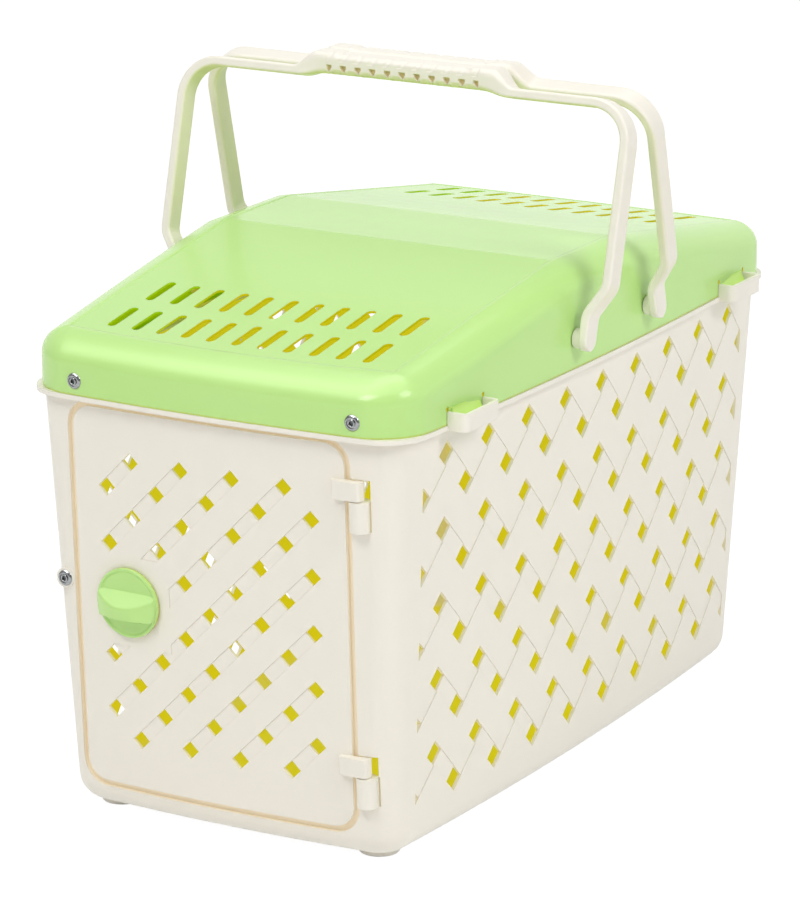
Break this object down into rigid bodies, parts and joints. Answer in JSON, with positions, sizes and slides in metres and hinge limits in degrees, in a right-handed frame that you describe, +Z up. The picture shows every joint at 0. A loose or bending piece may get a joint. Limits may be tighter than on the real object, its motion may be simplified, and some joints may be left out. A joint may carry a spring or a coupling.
{
  "type": "pet carrier basket",
  "caption": "Plastic pet carrier basket with lattice walls, a hinged front door with a turn knob, a slotted lid and folding handles.",
  "frame": {"origin": "on the ground, at the centre of the overall plan", "axes": "+Z up, -Y out of the doorway, +X towards the door's hinges"},
  "size_m": [0.3076, 0.4874, 0.4218],
  "materials": {
    "cream_plastic": "cream moulded polypropylene, satin",
    "lime_plastic": "lime green moulded polypropylene, semi-gloss",
    "aluminium_rivet": "bright aluminium",
    "steel_pin": "plain steel",
    "steel_plate": "zinc plated steel"
  },
  "bodies": {
    "carrier": {"basket": "cream_plastic", "lid": "lime_plastic", "lid_rivets": "aluminium_rivet", "keeper_rivet": "aluminium_rivet", "rivet_mandrels": "steel_pin", "latch_keeper": "steel_plate"},
    "door": {"door": "cream_plastic"},
    "latch": {"knob": "lime_plastic", "latch_tongue": "cream_plastic", "latch_washer": "steel_plate", "latch_screw": "steel_pin"},
    "front_handle": {"front_handle": "cream_plastic"},
    "rear_handle": {"rear_handle": "cream_plastic"}
  },
  "joints": [
    {"name": "door_hinge", "type": "hinge", "parent": "carrier", "child": "door", "pos_m": [0.0946, -0.22521, 0.0545], "axis": [0, -0.0457, 0.999], "range_deg": [0, 115]},
    {"name": "knob_turn", "type": "hinge", "parent": "door", "child": "latch", "pos_m": [-0.0594, -0.23083, 0.1354], "axis": [0.0447, 0.998, 0.0457], "range_deg": [0, 90]},
    {"name": "front_handle_fold", "type": "hinge", "parent": "carrier", "child": "front_handle", "pos_m": [0, -0.046, 0.2755], "axis": [1, 0, 0], "range_deg": [0, 90]},
    {"name": "rear_handle_fold", "type": "hinge", "parent": "carrier", "child": "rear_handle", "pos_m": [0, 0.046, 0.2755], "axis": [-1, 0, 0], "range_deg": [0, 90]}
  ]
}
